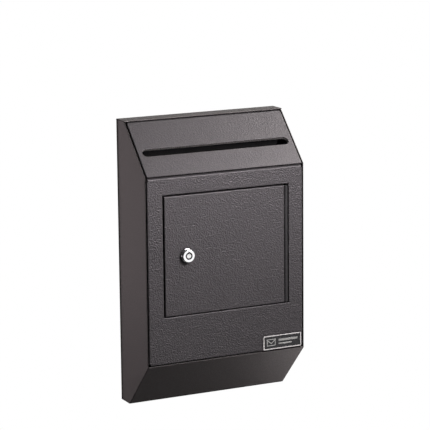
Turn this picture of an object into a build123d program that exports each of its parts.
from build123d import *
import os
from math import cos, hypot, radians, sin

# A wall-mounted drop box, welded up from folded sheet steel.
# X runs to the right as a person faces the box, Y runs back into the wall and Z runs up, in millimetres.
# The origin is on the back face, in the middle of the four wall bolts.

# Outline, seen from the side
SIDE_HEIGHT = 410.0
WIDTH = 250.0
DEPTH = 95.0
LEDGE = 28.0  # depth of the flat ledges at the top and the bottom
SLOPE_RISE = 69.0  # height of each sloping face

# Sheet metal
SHEET = 1.2
BEND_OUTER = 1.5
BEND_INNER = BEND_OUTER - SHEET
RETURN_DEPTH = 12.0  # depth of the flanges folded back along a panel's edges
LAP = 14.0  # length of the flanges that lie flat on a neighbouring panel
REVEAL = 1.8  # groove between the side panels and the hood or the front
EDGE_RECESS = 1.2  # how far the side panels' edges sit behind the hood and the front
HOOD_SEAM = 2.0  # open seam between the hood's lower edge and the front's flange under it
BOTTOM_SEAM = 0.8  # the same seam between the lower slope's upper edge and the front
LEDGE_SEAM = 1.7  # open seam between the top ledge and the hood
LEDGE_ROUND = 1.0
FIT_GAP = 0.1  # gap between panels that are welded edge to edge
SIDE_EDGE_ROUND = 0.5

# Mail slot, measured down the upper slope from the ledge
SLOT_LENGTH = 230.0
SLOT_WIDTH = 12.8
SLOT_DOWN = 55.4
SLOT_ROUND = 0.4
SLOT_RIM = 5.0  # depth of the rim turned in round the slot
BAFFLE_FOLD = 45.0
BAFFLE_FLANGE = 16.0
BAFFLE_TIP = (-22.0, 130.0)
BAFFLE_HALF_WIDTH = 106.0

# Door opening and door, seen from the front
OPENING_LEFT, OPENING_RIGHT = -98.5, 100.1
OPENING_BOTTOM, OPENING_TOP = -67.0, 108.0
JAMB_DEPTH = 16.0
STOP_WIDTH = 8.0  # lip behind the door's free edge, which stops the door and holds the cam
DOOR_GAP_LEFT = 2.3
DOOR_GAP_RIGHT = 7.0
DOOR_GAP_TOP = 2.0
DOOR_GAP_BOTTOM = 1.0
DOOR_DEPTH = 14.0

# Continuous hinge
KNUCKLE_COUNT = 17
KNUCKLE_PITCH = 10.0
KNUCKLE_GAP = 0.2
KNUCKLE_RADIUS = 2.8
LEAF = 1.5
RUNNING_GAP = 0.05
HINGE_SETBACK = 2.8  # from the front face back to the pin's axis
HINGE_CLEARANCE = 0.3  # between a knuckle and the edge that it turns beside

# Wall bolts
BOLT_SPACING_X = 160.0
BOLT_SPACING_Z = 100.0
BOLT_HOLE_RADIUS = 3.5

# Tubular cam lock
LOCK_X, LOCK_Z = -62.0, 20.0
NOSE_RADIUS = 9.1
NOSE_STAND = 7.0
NOSE_ROUND = 0.6
FLANGE_RADIUS = 9.8
FLANGE_THICKNESS = 2.2
BARREL_RADIUS = 8.0
BARREL_FLATS = 13.8
BARREL_LENGTH = 16.0
THREAD_PITCH = 1.2
THREAD_DEPTH = 0.5
HOLE_GAP = 0.15
KEYWAY_RADIUS = 5.4
KEYWAY_DEPTH = 6.5
POST_RADIUS = 3.5
NOTCH_WIDTH = 1.8
NOTCH_DEPTH = 1.4
SPINDLE_DISC = 4.0
SHAFT_RADIUS = 2.75
SHAFT_FLATS = 4.0
SLEEVE_LENGTH = 8.0
PIN_COUNT = 7
PIN_CIRCLE = 4.4
PIN_RADIUS = 0.65
DRIVER_LENGTH = 3.0
SPRING_WIRE = 0.14
SPRING_TURNS = 5
DOWEL_RADIUS = 0.8
NUT_ACROSS = 22.0
NUT_THICKNESS = 4.0
WASHER_RADIUS = 11.5
WASHER_THICKNESS = 1.0
WASHER_TEETH = 12
CAM_GAP = 0.6
CAM_THICKNESS = 2.0
CAM_REACH = 46.0
CAM_HUB_RADIUS = 9.0
CAM_TIP_WIDTH = 14.0
CAM_WASHER_RADIUS = 5.0
CAM_WASHER_THICKNESS = 0.8
SCREW_HEAD_RADIUS = 4.0
SCREW_HEAD = 2.2
SCREW_RADIUS = 1.5
SCREW_LENGTH = 8.0
SCREW_SLOT = 1.0

# Nameplate
PLATE_WIDTH, PLATE_HEIGHT = 61.5, 20.5
PLATE_THICKNESS = 0.8
PLATE_CENTRE = (88.6, -122.9)
PLATE_CORNER = 1.0
BORDER_WIDTH = 1.4
BORDER_RAISE = 0.2

# Worked out from the sizes above
TOP = SIDE_HEIGHT / 2
LID_TOP = TOP + SHEET
FRONT = -DEPTH
SLOPE_RUN = DEPTH - LEDGE
SLOPE_LENGTH = hypot(SLOPE_RUN, SLOPE_RISE)
ALONG = (-SLOPE_RUN / SLOPE_LENGTH, -SLOPE_RISE / SLOPE_LENGTH)  # down the upper slope, as (y, z)
INWARD = (SLOPE_RISE / SLOPE_LENGTH, -SLOPE_RUN / SLOPE_LENGTH)  # into the box, square to that slope
INSIDE = WIDTH / 2 - SHEET  # inner face of the right side panel
FRONT_HALF = INSIDE - REVEAL
BACK_HALF = INSIDE - FIT_GAP
BEND_MIDDLE = BEND_OUTER - SHEET / 2
PIN_X = OPENING_RIGHT - DOOR_GAP_RIGHT / 2
PIN_Y = FRONT + HINGE_SETBACK
BORE_RADIUS = KNUCKLE_RADIUS - LEAF
DOOR_LEFT = OPENING_LEFT + DOOR_GAP_LEFT
DOOR_RIGHT = OPENING_RIGHT - DOOR_GAP_RIGHT
DOOR_BOTTOM = OPENING_BOTTOM + DOOR_GAP_BOTTOM
DOOR_TOP = OPENING_TOP - DOOR_GAP_TOP
HINGE_BOTTOM = (DOOR_BOTTOM + DOOR_TOP - KNUCKLE_COUNT * KNUCKLE_PITCH) / 2
NOSE_FRONT = FRONT - NOSE_STAND
DISC_FRONT = NOSE_FRONT + KEYWAY_DEPTH
SLEEVE_FRONT = DISC_FRONT + SPINDLE_DISC + FIT_GAP
SLEEVE_BACK = SLEEVE_FRONT + SLEEVE_LENGTH
BARREL_BACK = FRONT + BARREL_LENGTH
WASHER_FRONT = FRONT + SHEET
NUT_FRONT = WASHER_FRONT + WASHER_THICKNESS
CAM_FRONT = BARREL_BACK + CAM_GAP
CAM_BACK = CAM_FRONT + CAM_THICKNESS
PIN_HOLE_RADIUS = PIN_RADIUS + RUNNING_GAP

# The upper slope's own plane: local X to the right, local Y up the slope and local Z out of the box.
SLOPE_PLANE = Plane(origin=(0, -LEDGE, TOP), x_dir=(1, 0, 0), z_dir=(0, -INWARD[0], -INWARD[1]))


def block(x, y, z):
    """A box between three pairs of limits."""
    size = [high - low for low, high in (x, y, z)]
    middle = [(high + low) / 2 for low, high in (x, y, z)]
    return Pos(*middle) * Box(*size)


def slope_point(down, depth):
    """The (y, z) of a point a distance down the upper slope, and a depth below its outer face."""
    return (
        -LEDGE + down * ALONG[0] + depth * INWARD[0],
        TOP + down * ALONG[1] + depth * INWARD[1],
    )


def slope_point_at_y(y, depth):
    """The point with this y on the line that lies a depth below the upper slope's outer face."""
    down = (y + LEDGE - depth * INWARD[0]) / ALONG[0]
    return slope_point(down, depth)


def slope_point_at_z(z, depth):
    """The point with this z on the line that lies a depth below the upper slope's outer face."""
    down = (z - TOP - depth * INWARD[1]) / ALONG[1]
    return slope_point(down, depth)


def flipped(points):
    """The same points for the lower slope, in the opposite order."""
    return [(y, -z) for y, z in reversed(points)]


def folded_strip(middle_points, half_width):
    """A sheet folded along X, whose middle line runs through these (y, z) points."""
    line = FilletPolyline(*middle_points, radius=BEND_MIDDLE)
    section = Plane.YZ * trace(line, SHEET)
    return Pos(-half_width, 0, 0) * extrude(section, amount=2 * half_width, dir=(1, 0, 0))


def round_edges(solid, radius, wanted):
    """The solid with each edge rounded whose middle point satisfies the test."""
    edges = [edge for edge in solid.edges() if wanted(edge.position_at(0.5))]
    return fillet(edges, radius)


def same(a, b):
    return abs(a - b) < 0.01


def side_panel(side):
    """A flat plate with the box's six-sided outline, set a little behind the hood and the front."""
    recess = EDGE_RECESS
    outline = [
        (0, TOP),
        slope_point_at_z(TOP, recess),
        slope_point_at_y(FRONT + recess, recess),
        flipped([slope_point_at_y(FRONT + recess, 0)])[0],
        (-LEDGE, -TOP),
        (0, -TOP),
    ]
    face = Plane.YZ * make_face(Polyline(*outline, close=True))
    plate = Pos(side * INSIDE, 0, 0) * extrude(face, amount=SHEET, dir=(side, 0, 0))
    return round_edges(plate, SIDE_EDGE_ROUND, lambda p: same(abs(p.X), WIDTH / 2))


def back_panel():
    """A pan whose deep flanges form the ledges; the top one covers the side panels' upper edges."""
    outer = block((-BACK_HALF, BACK_HALF), (-LEDGE, 0), (-TOP, LID_TOP))
    outer = round_edges(outer, BEND_OUTER, lambda p: same(p.Y, 0) and p.Z < TOP)
    outer += block((-WIDTH / 2, WIDTH / 2), (-LEDGE, 0), (TOP, LID_TOP))
    outer = round_edges(outer, LEDGE_ROUND, lambda p: same(p.Z, LID_TOP) and abs(p.X) < SHEET)
    inner_half = BACK_HALF - SHEET
    inner_low = -TOP + SHEET
    inner = block((-inner_half, inner_half), (-2 * LEDGE, -SHEET), (inner_low, TOP))
    inner = round_edges(inner, BEND_INNER, lambda p: same(p.Y, -SHEET))
    panel = outer - inner
    for side in (-1, 1):
        edge = sorted((side * (inner_half - SHEET), side * WIDTH / 2))
        panel -= block(edge, (-2 * LEDGE, -RETURN_DEPTH), (inner_low, TOP))
    for x in (-BOLT_SPACING_X / 2, BOLT_SPACING_X / 2):
        for z in (-BOLT_SPACING_Z / 2, BOLT_SPACING_Z / 2):
            panel -= Pos(x, 0, z) * Rot(90, 0, 0) * Cylinder(BOLT_HOLE_RADIUS, 4 * SHEET)
    return panel


def hood_panel():
    """The upper slope, with a rim turned in round the mail slot and a flange under the top ledge."""
    middle = SHEET / 2
    lap_height = TOP - LEDGE_SEAM - middle
    start = (TOP - lap_height) / -ALONG[1] + BEND_INNER
    outer = block((-FRONT_HALF, FRONT_HALF), (-SLOPE_LENGTH, -start), (-RETURN_DEPTH, 0))
    outer = round_edges(outer, BEND_OUTER, lambda p: same(abs(p.X), FRONT_HALF) and same(p.Z, 0))
    inner_half = FRONT_HALF - SHEET
    inner = block((-inner_half, inner_half), (-SLOPE_LENGTH - SHEET, 0), (-RETURN_DEPTH - SHEET, -SHEET))
    inner = round_edges(inner, BEND_INNER, lambda p: same(abs(p.X), inner_half) and same(p.Z, -SHEET))
    panel = outer - inner
    clear_of_front = SLOPE_LENGTH - (RETURN_DEPTH + SHEET) / -ALONG[0]
    for side in (-1, 1):
        edge = sorted((side * (inner_half - SHEET), side * WIDTH / 2))
        panel -= block(edge, (-SLOPE_LENGTH - SHEET, -clear_of_front), (-2 * RETURN_DEPTH, -BEND_OUTER))
    slot = Pos(0, -SLOT_DOWN, 0)
    panel += slot * extrude(SlotOverall(SLOT_LENGTH + 2 * SHEET, SLOT_WIDTH + 2 * SHEET), -SLOT_RIM)
    panel -= slot * extrude(SlotOverall(SLOT_LENGTH, SLOT_WIDTH), 2 * SLOT_RIM, both=True)
    panel = round_edges(panel, SLOT_ROUND, lambda p: same(p.Z, 0) and abs(p.Y + SLOT_DOWN) < SLOT_WIDTH)
    lap = [(-LEDGE + LAP, lap_height), slope_point_at_z(lap_height, middle), slope_point(2 * start, middle)]
    return SLOPE_PLANE * panel + folded_strip(lap, FRONT_HALF - BEND_OUTER)


def slot_baffle():
    """A folded plate welded inside the hood above the slot, which turns mail down into the box."""
    depth = 1.5 * SHEET
    points = [slope_point(BAFFLE_FOLD - BAFFLE_FLANGE, depth), slope_point(BAFFLE_FOLD, depth), BAFFLE_TIP]
    return folded_strip(points, BAFFLE_HALF_WIDTH)


def front_lap(seam):
    """The points of the front's upper edge, folded back under the slope with an open seam between them."""
    depth = SHEET + seam + SHEET / 2
    corner = slope_point_at_y(FRONT + SHEET / 2, depth)
    return [(corner[0], corner[1] - LAP), corner, slope_point(SLOPE_LENGTH - LAP, depth)]


def front_panel():
    """The front, with a flange under each slope and the door's jambs folded in around its opening."""
    upper_lap, lower_lap = front_lap(HOOD_SEAM), front_lap(BOTTOM_SEAM)
    face_top = upper_lap[1][1] - BEND_OUTER
    face_bottom = BEND_OUTER - lower_lap[1][1]
    outer = block((-FRONT_HALF, FRONT_HALF), (FRONT, FRONT + RETURN_DEPTH), (face_bottom, face_top))
    outer = round_edges(outer, BEND_OUTER, lambda p: same(abs(p.X), FRONT_HALF) and same(p.Y, FRONT))
    inner_half = FRONT_HALF - SHEET
    inner = block((-inner_half, inner_half), (FRONT + SHEET, 0), (-TOP, TOP))
    inner = round_edges(inner, BEND_INNER, lambda p: same(abs(p.X), inner_half) and same(p.Y, FRONT + SHEET))
    panel = outer - inner
    for lap in (upper_lap, flipped(lower_lap)):
        panel += folded_strip(lap, FRONT_HALF - BEND_OUTER)

    opening_x = (OPENING_LEFT, OPENING_RIGHT)
    opening_z = (OPENING_BOTTOM, OPENING_TOP)
    jamb_x = (OPENING_LEFT - SHEET, OPENING_RIGHT + SHEET)
    jamb_z = (OPENING_BOTTOM - SHEET, OPENING_TOP + SHEET)
    panel += block(jamb_x, (FRONT, FRONT + JAMB_DEPTH), jamb_z)
    panel -= block(opening_x, (2 * FRONT, 0), opening_z)

    def on_opening(p):
        on_side = same(p.X, OPENING_LEFT) or same(p.X, OPENING_RIGHT)
        on_end = same(p.Z, OPENING_BOTTOM) or same(p.Z, OPENING_TOP)
        return same(p.Y, FRONT) and (on_side or on_end)

    panel = round_edges(panel, SHEET, on_opening)
    stop_x = (OPENING_LEFT - SHEET / 2, OPENING_LEFT + STOP_WIDTH)
    stop_y = (FRONT + JAMB_DEPTH - SHEET, FRONT + JAMB_DEPTH)
    return panel + block(stop_x, stop_y, (DOOR_BOTTOM, DOOR_TOP))


def bottom_panel():
    """The lower slope, with a flange over the bottom ledge."""
    middle = SHEET / 2
    ledge_height = TOP - SHEET - middle
    points = [
        (-LEDGE + LAP, ledge_height),
        slope_point_at_z(ledge_height, middle),
        slope_point(SLOPE_LENGTH, middle),
    ]
    return folded_strip(flipped(points), BACK_HALF)


def lock_hole():
    """The round hole with two flats that keeps the lock from turning in the door."""
    hole = lock_ring(FRONT - SHEET, FRONT + 2 * SHEET, BARREL_RADIUS + HOLE_GAP)
    return hole & flats(BARREL_FLATS + 2 * HOLE_GAP)


def door_panel():
    """A shallow pan with its corners welded, and the lock's hole."""
    outer = block((DOOR_LEFT, DOOR_RIGHT), (FRONT, FRONT + DOOR_DEPTH), (DOOR_BOTTOM, DOOR_TOP))
    outer = round_edges(outer, BEND_OUTER, lambda p: same(p.Y, FRONT))
    inner = block(
        (DOOR_LEFT + SHEET, DOOR_RIGHT - SHEET),
        (FRONT + SHEET, FRONT + 2 * DOOR_DEPTH),
        (DOOR_BOTTOM + SHEET, DOOR_TOP - SHEET),
    )
    inner = round_edges(inner, BEND_INNER, lambda p: same(p.Y, FRONT + SHEET))
    return outer - inner - lock_hole()


def hinge_leaf(side, first, strip_back):
    """A hinge leaf with every second knuckle, on the door's side (-1) or the jamb's side (1)."""
    near = PIN_X + side * (DOOR_GAP_RIGHT / 2 - LEAF)
    far = PIN_X + side * DOOR_GAP_RIGHT / 2
    leaf_x = sorted((near, far))
    strip_front = PIN_Y + KNUCKLE_RADIUS + HINGE_CLEARANCE
    length = KNUCKLE_COUNT * KNUCKLE_PITCH
    leaf = block(leaf_x, (strip_front, strip_back), (HINGE_BOTTOM, HINGE_BOTTOM + length))
    for number in range(first, KNUCKLE_COUNT, 2):
        low = HINGE_BOTTOM + number * KNUCKLE_PITCH + KNUCKLE_GAP / 2
        high = low + KNUCKLE_PITCH - KNUCKLE_GAP
        leaf += block(leaf_x, (PIN_Y, strip_front), (low, high))
        leaf += Pos(PIN_X, PIN_Y, (low + high) / 2) * Cylinder(KNUCKLE_RADIUS, high - low)
    bore = Cylinder(BORE_RADIUS, 2 * length)
    return leaf - Pos(PIN_X, PIN_Y, 0) * bore


def hinge_pin():
    length = KNUCKLE_COUNT * KNUCKLE_PITCH - KNUCKLE_GAP
    pin = Cylinder(BORE_RADIUS - RUNNING_GAP, length)
    pin = fillet(pin.edges().filter_by(GeomType.CIRCLE), SIDE_EDGE_ROUND)
    return Pos(PIN_X, PIN_Y, HINGE_BOTTOM + KNUCKLE_COUNT * KNUCKLE_PITCH / 2) * pin


def nameplate():
    """A blank plate with a slightly raised border, stuck to the front."""
    centre_x, centre_z = PLATE_CENTRE
    place = Plane(origin=(centre_x, FRONT, centre_z), x_dir=(1, 0, 0), z_dir=(0, -1, 0))
    outer = RectangleRounded(PLATE_WIDTH, PLATE_HEIGHT, PLATE_CORNER)
    field = Rectangle(PLATE_WIDTH - 2 * BORDER_WIDTH, PLATE_HEIGHT - 2 * BORDER_WIDTH)
    plate = extrude(place * outer, PLATE_THICKNESS)
    raised = Plane(origin=place.origin + place.z_dir * PLATE_THICKNESS, x_dir=(1, 0, 0), z_dir=(0, -1, 0))
    return plate + extrude(raised * (outer - field), BORDER_RAISE)


def lock_ring(front, back, radius, hole=0.0):
    """A cylinder about the lock's axis between two y positions, with an optional hole."""
    place = Pos(LOCK_X, (front + back) / 2, LOCK_Z) * Rot(90, 0, 0)
    ring = place * Cylinder(radius, back - front)
    if hole:
        ring -= place * Cylinder(hole, 2 * (back - front))
    return ring


def flats(across):
    """A slab about the lock's axis, whose top and bottom faces cut two flats on a round shaft or hole."""
    reach = 4 * BARREL_RADIUS
    return block((LOCK_X - reach, LOCK_X + reach), (2 * FRONT, 0), (LOCK_Z - across / 2, LOCK_Z + across / 2))


def around_pins(front, back, radius):
    """A round hole or pin at each of the tumblers' places on their circle."""
    pieces = []
    for number in range(PIN_COUNT):
        angle = radians(90 + number * 360 / PIN_COUNT)
        offset = Pos(PIN_CIRCLE * cos(angle), 0, PIN_CIRCLE * sin(angle))
        pieces.append(offset * lock_ring(front, back, radius))
    return pieces


def thread_groove(y):
    """One V-shaped groove round the threaded barrel."""
    half = THREAD_PITCH * 0.4
    outside = BARREL_RADIUS + THREAD_DEPTH
    points = [(BARREL_RADIUS - THREAD_DEPTH, y), (outside, y - 2 * half), (outside, y + 2 * half)]
    groove = revolve(make_face(Polyline(*points, close=True)), axis=Axis.Y)
    return Pos(LOCK_X, 0, LOCK_Z) * groove


def key_notch(inner, outer):
    """The notch at twelve o'clock that takes the key's guide."""
    return block(
        (LOCK_X - NOTCH_WIDTH / 2, LOCK_X + NOTCH_WIDTH / 2),
        (NOSE_FRONT - SHEET, NOSE_FRONT + 2 * NOTCH_DEPTH),
        (LOCK_Z + inner, LOCK_Z + outer),
    )


def dowel_place(radius, gap=0.0):
    """A short cylinder up through the barrel's lower flat and into the driver sleeve, between two pins."""
    inner, outer = KEYWAY_RADIUS - 2 * DOWEL_RADIUS - gap, BARREL_FLATS / 2
    y = (SLEEVE_FRONT + SLEEVE_BACK) / 2 + DOWEL_RADIUS
    return Pos(LOCK_X, y, LOCK_Z - (inner + outer) / 2) * Cylinder(radius, outer - inner)


def lock_housing():
    """The lock's fixed body: rounded nose, flange and threaded barrel with two flats."""
    nose = lock_ring(NOSE_FRONT, FRONT - FLANGE_THICKNESS / 2, NOSE_RADIUS)
    nose = round_edges(nose, NOSE_ROUND, lambda p: same(p.Y, NOSE_FRONT))
    flange = lock_ring(FRONT - FLANGE_THICKNESS, FRONT, FLANGE_RADIUS)
    flange = round_edges(flange, NOSE_ROUND, lambda p: same(p.Y, FRONT - FLANGE_THICKNESS))
    barrel = lock_ring(FRONT - SHEET, BARREL_BACK, BARREL_RADIUS)
    first = NUT_FRONT
    for turn in range(int((BARREL_BACK - first) / THREAD_PITCH)):
        barrel -= thread_groove(first + (turn + 0.5) * THREAD_PITCH)
    body = nose + flange + (barrel & flats(BARREL_FLATS))
    body -= lock_ring(NOSE_FRONT - SHEET, SLEEVE_BACK + FIT_GAP, KEYWAY_RADIUS)
    body -= lock_ring(SLEEVE_BACK, BARREL_BACK + SHEET, SHAFT_RADIUS + RUNNING_GAP)
    return body - key_notch(0, KEYWAY_RADIUS + NOTCH_DEPTH) - dowel_place(DOWEL_RADIUS + RUNNING_GAP, FIT_GAP)


def lock_spindle():
    """The turning core: centre post, disc with seven pin holes, shaft and flatted tail for the cam."""
    body_radius = KEYWAY_RADIUS - RUNNING_GAP
    post = lock_ring(NOSE_FRONT + FIT_GAP, DISC_FRONT + SHEET, POST_RADIUS)
    post = round_edges(post, BEND_INNER, lambda p: same(p.Y, NOSE_FRONT + FIT_GAP))
    post -= key_notch(POST_RADIUS - NOTCH_DEPTH / 2, KEYWAY_RADIUS)
    disc = lock_ring(DISC_FRONT, DISC_FRONT + SPINDLE_DISC, body_radius)
    shaft = lock_ring(DISC_FRONT + SHEET, BARREL_BACK, SHAFT_RADIUS)
    tail = lock_ring(BARREL_BACK - SHEET, CAM_BACK - FIT_GAP, SHAFT_RADIUS) & flats(SHAFT_FLATS)
    spindle = post + disc + shaft + tail
    for hole in around_pins(DISC_FRONT - SHEET, DISC_FRONT + SPINDLE_DISC + SHEET, PIN_HOLE_RADIUS):
        spindle -= hole
    return spindle - lock_ring(CAM_BACK - SCREW_LENGTH - SHEET, CAM_BACK, SCREW_RADIUS + RUNNING_GAP)


def key_pins():
    """The seven pins that show at the bottom of the round keyway."""
    front = DISC_FRONT - PIN_RADIUS
    pins = []
    for pin in around_pins(front, DISC_FRONT + SPINDLE_DISC, PIN_RADIUS):
        pins.append(round_edges(pin, BEND_INNER, lambda p: same(p.Y, front)))
    return Compound(children=pins)


def driver_sleeve():
    """The fixed block behind the spindle's disc, which holds the driver pins and their springs."""
    sleeve = lock_ring(SLEEVE_FRONT, SLEEVE_BACK, KEYWAY_RADIUS - FIT_GAP / 2, SHAFT_RADIUS + RUNNING_GAP)
    for hole in around_pins(SLEEVE_FRONT - SHEET, SLEEVE_BACK - SHEET, PIN_HOLE_RADIUS):
        sleeve -= hole
    return sleeve - dowel_place(DOWEL_RADIUS + RUNNING_GAP, FIT_GAP)


def driver_pins():
    return Compound(children=around_pins(SLEEVE_FRONT + FIT_GAP, SLEEVE_FRONT + DRIVER_LENGTH, PIN_RADIUS))


def driver_springs():
    """A small coil spring behind each driver pin."""
    front = SLEEVE_FRONT + DRIVER_LENGTH + SPRING_WIRE
    length = SLEEVE_BACK - SHEET - SPRING_WIRE - front
    coil = PIN_RADIUS - 1.5 * SPRING_WIRE
    path = Helix(pitch=length / SPRING_TURNS, height=length, radius=coil)
    section = Plane(origin=path @ 0, z_dir=path % 0) * Circle(SPRING_WIRE)
    spring = sweep(section, path=path)
    springs = []
    for number in range(PIN_COUNT):
        angle = radians(90 + number * 360 / PIN_COUNT)
        x = LOCK_X + PIN_CIRCLE * cos(angle)
        z = LOCK_Z + PIN_CIRCLE * sin(angle)
        springs.append(Pos(x, front, z) * Rot(-90, 0, 0) * spring)
    return Compound(children=springs)


def lock_washer():
    """A toothed washer between the door and the nut."""
    hole = BARREL_RADIUS + HOLE_GAP
    washer = lock_ring(WASHER_FRONT, NUT_FRONT, WASHER_RADIUS, hole)
    for tooth in range(WASHER_TEETH):
        angle = radians((tooth + 0.5) * 360 / WASHER_TEETH)
        offset = Pos(WASHER_RADIUS * cos(angle), 0, WASHER_RADIUS * sin(angle))
        washer -= offset * lock_ring(WASHER_FRONT - SHEET, NUT_FRONT + SHEET, WASHER_THICKNESS)
    return washer


def lock_nut():
    """The hexagonal nut that clamps the lock to the door."""
    place = Plane(origin=(LOCK_X, NUT_FRONT, LOCK_Z), x_dir=(1, 0, 0), z_dir=(0, 1, 0))
    hexagon = RegularPolygon(NUT_ACROSS / 2, 6, major_radius=False)
    nut = extrude(place * hexagon, NUT_THICKNESS)
    crown = lock_ring(NUT_FRONT, NUT_FRONT + NUT_THICKNESS, NUT_ACROSS * 0.56)
    crown = chamfer([e for e in crown.edges() if e.geom_type == GeomType.CIRCLE], 1.0)
    nut = nut & crown
    return nut - lock_ring(NUT_FRONT - SHEET, NUT_FRONT + 2 * NUT_THICKNESS, BARREL_RADIUS + RUNNING_GAP)


def lock_cam():
    """The flat arm that turns behind the door stop; it hangs straight down while unlocked."""
    place = Plane(origin=(LOCK_X, CAM_FRONT, LOCK_Z), x_dir=(1, 0, 0), z_dir=(0, 1, 0))
    hub = Circle(CAM_HUB_RADIUS)
    reach = CAM_REACH - CAM_TIP_WIDTH / 2
    arm = Pos(0, reach / 2) * Rectangle(CAM_TIP_WIDTH, reach)
    tip = Pos(0, reach) * Circle(CAM_TIP_WIDTH / 2)
    cam = extrude(place * (hub + arm + tip), CAM_THICKNESS)
    cam = chamfer(cam.faces().sort_by(Axis.Y)[-1].edges(), BEND_INNER)
    hole = lock_ring(CAM_FRONT - SHEET, CAM_BACK + SHEET, SHAFT_RADIUS + RUNNING_GAP)
    return cam - (hole & flats(SHAFT_FLATS + 2 * RUNNING_GAP))


def cam_washer():
    """A split spring washer under the cam's screw."""
    washer = lock_ring(CAM_BACK, CAM_BACK + CAM_WASHER_THICKNESS, CAM_WASHER_RADIUS, SCREW_RADIUS + FIT_GAP)
    split_x = (LOCK_X - RUNNING_GAP - FIT_GAP, LOCK_X + RUNNING_GAP + FIT_GAP)
    return washer - block(split_x, (CAM_BACK - SHEET, 0), (LOCK_Z, LOCK_Z + 2 * CAM_WASHER_RADIUS))


def cam_screw():
    """The slotted pan-head screw that holds the cam on the spindle."""
    head_front = CAM_BACK + CAM_WASHER_THICKNESS
    head_back = head_front + SCREW_HEAD
    head = lock_ring(head_front, head_back, SCREW_HEAD_RADIUS)
    head = round_edges(head, NOSE_ROUND, lambda p: same(p.Y, head_back))
    slot_z = (LOCK_Z - SCREW_SLOT / 2, LOCK_Z + SCREW_SLOT / 2)
    slot_x = (LOCK_X - 2 * SCREW_HEAD_RADIUS, LOCK_X + 2 * SCREW_HEAD_RADIUS)
    head -= block(slot_x, (head_back - SCREW_HEAD / 2, 0), slot_z)
    return head + lock_ring(CAM_BACK - SCREW_LENGTH, head_front + SHEET / 2, SCREW_RADIUS)


def all_pieces():
    """Every piece of the box by name."""
    return {
        "back_panel": back_panel(),
        "left_side_panel": side_panel(-1),
        "right_side_panel": side_panel(1),
        "hood_panel": hood_panel(),
        "slot_baffle": slot_baffle(),
        "front_panel": front_panel(),
        "bottom_panel": bottom_panel(),
        "nameplate": nameplate(),
        "hinge_frame_leaf": hinge_leaf(1, 0, FRONT + JAMB_DEPTH),
        "hinge_pin": hinge_pin(),
        "door_panel": door_panel(),
        "hinge_door_leaf": hinge_leaf(-1, 1, FRONT + DOOR_DEPTH),
        "lock_housing": lock_housing(),
        "driver_sleeve": driver_sleeve(),
        "sleeve_dowel": dowel_place(DOWEL_RADIUS),
        "driver_pins": driver_pins(),
        "driver_springs": driver_springs(),
        "lock_washer": lock_washer(),
        "lock_nut": lock_nut(),
        "lock_spindle": lock_spindle(),
        "key_pins": key_pins(),
        "lock_cam": lock_cam(),
        "cam_washer": cam_washer(),
        "cam_screw": cam_screw(),
    }


os.makedirs("parts", exist_ok=True)
for name, piece in all_pieces().items():
    export_step(piece, f"parts/{name}.step")
